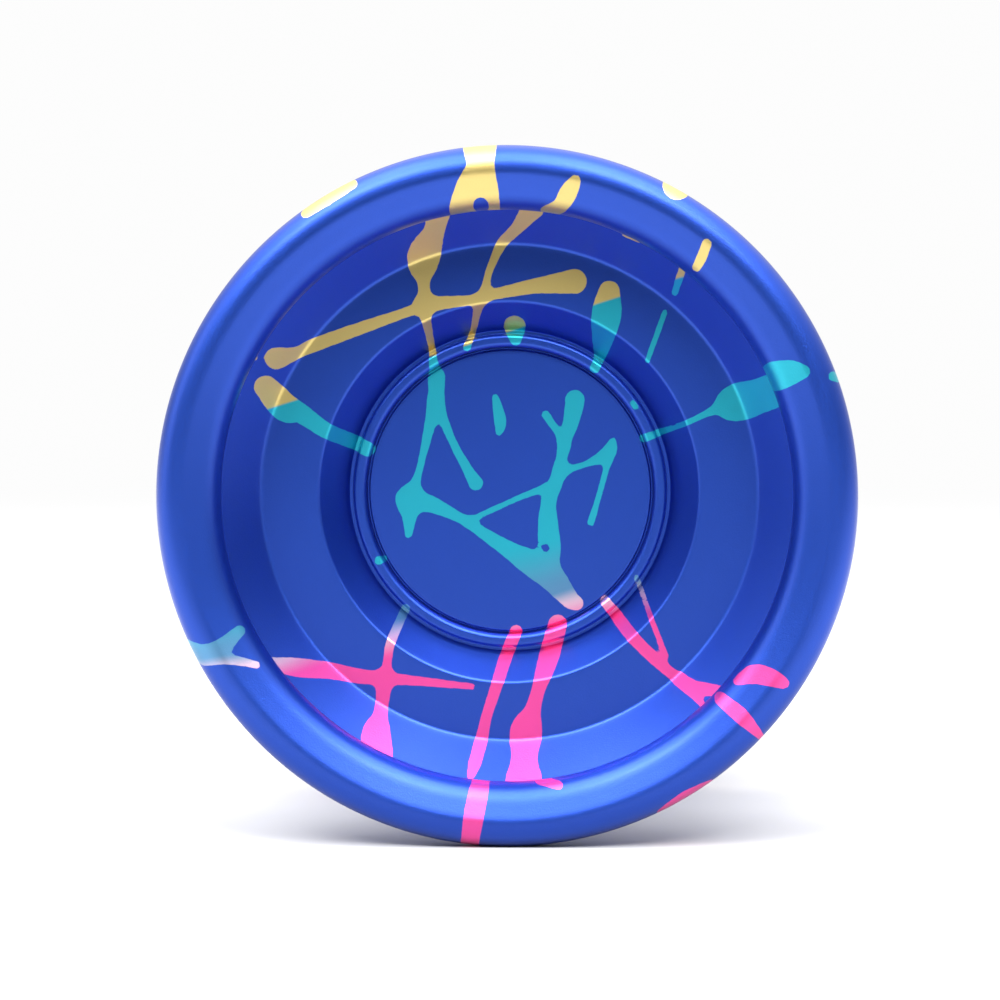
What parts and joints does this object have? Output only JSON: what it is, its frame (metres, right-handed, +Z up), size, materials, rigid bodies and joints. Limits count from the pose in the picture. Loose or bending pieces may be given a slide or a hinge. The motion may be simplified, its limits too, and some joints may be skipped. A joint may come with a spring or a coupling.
{
  "type": "yo-yo",
  "caption": "Unresponsive ball-bearing yo-yo: two cupped metal halves that screw onto one axle, with a wide string gap, response pads and a shielded bearing.",
  "frame": {"origin": "centre of the yo-yo, on the axle's line and half-way between the two halves", "axes": "+Y along the axle, from the front half towards the back half; +Z up when it stands on its rims; the front face looks towards -Y"},
  "size_m": [0.0558, 0.0444, 0.0558],
  "materials": {
    "anodised_front": "bead-blasted blue anodising with gold, teal and pink splashes",
    "anodised_back": "bead-blasted blue anodising with gold, teal and pink splashes",
    "silicone": "matte white silicone",
    "axle_steel": "stainless set screw, satin",
    "bearing_steel": "ground and polished bearing steel",
    "ball_steel": "mirror-polished",
    "shield_steel": "pressed stainless sheet and spring wire",
    "cage_polymer": "moulded black polymer"
  },
  "bodies": {
    "back_half": {"back_half": "anodised_back", "back_response_pad": "silicone", "axle": "axle_steel", "bearing_inner_race": "bearing_steel"},
    "outer_race": {"bearing_outer_race": "bearing_steel", "front_shield": "shield_steel", "back_shield": "shield_steel", "front_snap_ring": "shield_steel", "back_snap_ring": "shield_steel"},
    "cage": {"bearing_cage": "cage_polymer"},
    "ball_01": {"ball_01": "ball_steel"},
    "ball_02": {"ball_02": "ball_steel"},
    "ball_03": {"ball_03": "ball_steel"},
    "ball_04": {"ball_04": "ball_steel"},
    "ball_05": {"ball_05": "ball_steel"},
    "ball_06": {"ball_06": "ball_steel"},
    "ball_07": {"ball_07": "ball_steel"},
    "ball_08": {"ball_08": "ball_steel"},
    "ball_09": {"ball_09": "ball_steel"},
    "ball_10": {"ball_10": "ball_steel"},
    "front_slide": {"front_response_pad": "silicone"},
    "front_half": {"front_half": "anodised_front"}
  },
  "joints": [
    {"name": "bearing_spin", "type": "hinge", "parent": "back_half", "child": "outer_race", "pos_m": [0, 0, 0], "axis": [0, 1, 0], "continuous": true},
    {"name": "cage_spin", "type": "hinge", "parent": "back_half", "child": "cage", "pos_m": [0, 0, 0], "axis": [0, 1, 0], "continuous": true},
    {"name": "front_shift", "type": "slide", "parent": "back_half", "child": "front_slide", "axis": [0, -1, 0], "range_m": [0, 0.0071]},
    {"name": "front_unscrew", "type": "hinge", "parent": "front_slide", "child": "front_half", "pos_m": [0, 0, 0], "axis": [0, -1, 0], "range_deg": [0, 3600]},
    {"name": "ball_01_spin", "type": "hinge", "parent": "cage", "child": "ball_01", "pos_m": [0, 0, 0.00476], "axis": [0, 1, 0], "continuous": true},
    {"name": "ball_02_spin", "type": "hinge", "parent": "cage", "child": "ball_02", "pos_m": [0.0028, 0, 0.00385], "axis": [0, 1, 0], "continuous": true},
    {"name": "ball_03_spin", "type": "hinge", "parent": "cage", "child": "ball_03", "pos_m": [0.00453, 0, 0.00147], "axis": [0, 1, 0], "continuous": true},
    {"name": "ball_04_spin", "type": "hinge", "parent": "cage", "child": "ball_04", "pos_m": [0.00453, 0, -0.00147], "axis": [0, 1, 0], "continuous": true},
    {"name": "ball_05_spin", "type": "hinge", "parent": "cage", "child": "ball_05", "pos_m": [0.0028, 0, -0.00385], "axis": [0, 1, 0], "continuous": true},
    {"name": "ball_06_spin", "type": "hinge", "parent": "cage", "child": "ball_06", "pos_m": [0, 0, -0.00476], "axis": [0, 1, 0], "continuous": true},
    {"name": "ball_07_spin", "type": "hinge", "parent": "cage", "child": "ball_07", "pos_m": [-0.0028, 0, -0.00385], "axis": [0, 1, 0], "continuous": true},
    {"name": "ball_08_spin", "type": "hinge", "parent": "cage", "child": "ball_08", "pos_m": [-0.00453, 0, -0.00147], "axis": [0, 1, 0], "continuous": true},
    {"name": "ball_09_spin", "type": "hinge", "parent": "cage", "child": "ball_09", "pos_m": [-0.00453, 0, 0.00147], "axis": [0, 1, 0], "continuous": true},
    {"name": "ball_10_spin", "type": "hinge", "parent": "cage", "child": "ball_10", "pos_m": [-0.0028, 0, 0.00385], "axis": [0, 1, 0], "continuous": true}
  ],
  "couplings": [
    {"joint": "cage_spin", "follows": "bearing_spin", "ratio": 0.58333},
    {"joint": "front_shift", "follows": "front_unscrew", "m_per_rad": 0.00011141},
    {"joint": "ball_01_spin", "follows": "bearing_spin", "ratio": 2.9167},
    {"joint": "ball_02_spin", "follows": "bearing_spin", "ratio": 2.9167},
    {"joint": "ball_03_spin", "follows": "bearing_spin", "ratio": 2.9167},
    {"joint": "ball_04_spin", "follows": "bearing_spin", "ratio": 2.9167},
    {"joint": "ball_05_spin", "follows": "bearing_spin", "ratio": 2.9167},
    {"joint": "ball_06_spin", "follows": "bearing_spin", "ratio": 2.9167},
    {"joint": "ball_07_spin", "follows": "bearing_spin", "ratio": 2.9167},
    {"joint": "ball_08_spin", "follows": "bearing_spin", "ratio": 2.9167},
    {"joint": "ball_09_spin", "follows": "bearing_spin", "ratio": 2.9167},
    {"joint": "ball_10_spin", "follows": "bearing_spin", "ratio": 2.9167}
  ]
}
